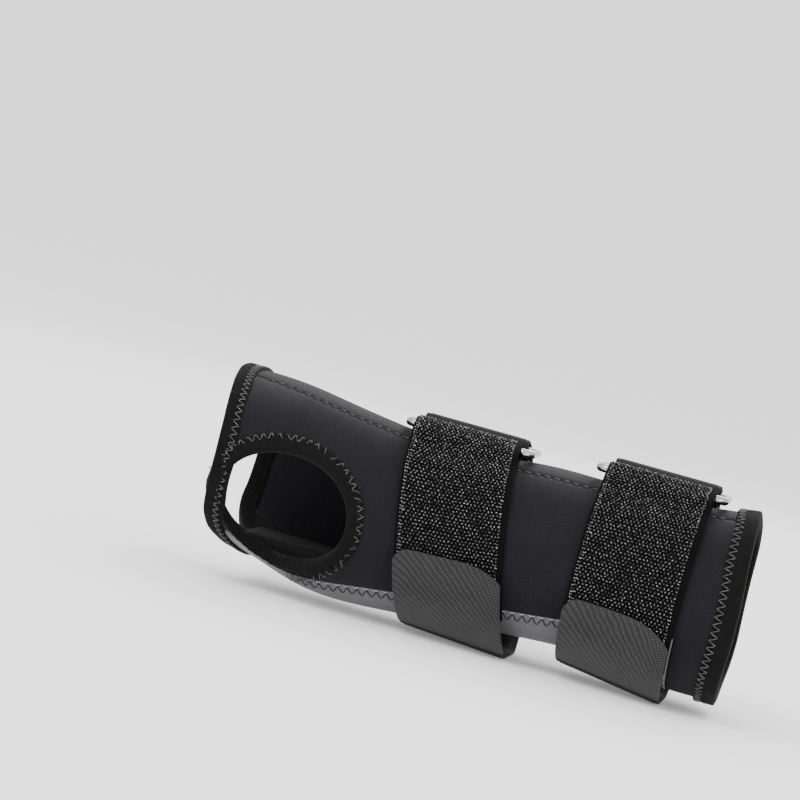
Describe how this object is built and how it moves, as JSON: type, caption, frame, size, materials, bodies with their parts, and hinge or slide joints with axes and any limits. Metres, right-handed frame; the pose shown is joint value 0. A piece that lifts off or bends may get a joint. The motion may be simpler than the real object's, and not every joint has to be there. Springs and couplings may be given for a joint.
{
  "type": "wrist splint",
  "caption": "Right-hand foam sleeve wrist splint with a thumb hole, two straps drawn through wire rings and a stay in a palm pocket.",
  "frame": {"origin": "on the table under the middle of the splint's box, with the splint lying palm side down on its two straps", "axes": "+X from the hand end to the forearm end, -Y the thumb side, +Z the back of the hand"},
  "size_m": [0.188, 0.0778, 0.0768],
  "materials": {
    "palm_grey": "smooth satin grey knit on foam",
    "sleeve_black": "fine black knit on foam, faint sheen",
    "binding": "matte knit tape",
    "pocket_cloth": "plain matte lining",
    "pad_foam": "soft foam",
    "stay_metal": "satin",
    "cap_plastic": "dipped, matte",
    "hook_band": "black tape with rows of shiny loops",
    "ring_metal": "polished plated wire",
    "tail_tape": "woven tape",
    "tab_tape": "brushed twill",
    "hook_patch": "moulded hooks on tape"
  },
  "bodies": {
    "sleeve": {"palm_panel": "palm_grey", "dorsal_panel": "sleeve_black", "thumb_side_panel": "sleeve_black", "little_finger_side_panel": "sleeve_black", "hand_end_binding": "binding", "forearm_end_binding": "binding", "thumb_hole_binding": "binding", "stay_pocket": "pocket_cloth", "palm_pad": "pad_foam", "wrist_strap_band": "hook_band", "wrist_strap_tail": "tail_tape", "forearm_strap_band": "hook_band", "forearm_strap_tail": "tail_tape"},
    "palm_stay": {"stay_blade": "stay_metal", "stay_cap_hand_end": "cap_plastic", "stay_cap_forearm_end": "cap_plastic"},
    "wrist_ring": {"wrist_strap_ring": "ring_metal"},
    "forearm_ring": {"forearm_strap_ring": "ring_metal"},
    "wrist_tab": {"wrist_strap_tab": "tab_tape", "wrist_strap_tab_hooks": "hook_patch"},
    "forearm_tab": {"forearm_strap_tab": "tab_tape", "forearm_strap_tab_hooks": "hook_patch"}
  },
  "joints": [
    {"name": "stay_slide", "type": "slide", "parent": "sleeve", "child": "palm_stay", "axis": [1, 0, 0], "range_m": [0, 0.165]},
    {"name": "wrist_tab_peel", "type": "hinge", "parent": "sleeve", "child": "wrist_tab", "pos_m": [0.00048, -0.01868, 0.00326], "axis": [1, 0, 0], "range_deg": [0, 85]},
    {"name": "wrist_ring_rock", "type": "hinge", "parent": "sleeve", "child": "wrist_ring", "pos_m": [-0.01206, -0.0085, 0.07026], "axis": [1, 0, 0], "range_deg": [-3, 3]},
    {"name": "forearm_tab_peel", "type": "hinge", "parent": "sleeve", "child": "forearm_tab", "pos_m": [0.0562, -0.01912, 0.00345], "axis": [1, 0, 0], "range_deg": [0, 85]},
    {"name": "forearm_ring_rock", "type": "hinge", "parent": "sleeve", "child": "forearm_ring", "pos_m": [0.0562, -0.0085, 0.07278], "axis": [1, 0, 0], "range_deg": [-3, 3]}
  ]
}
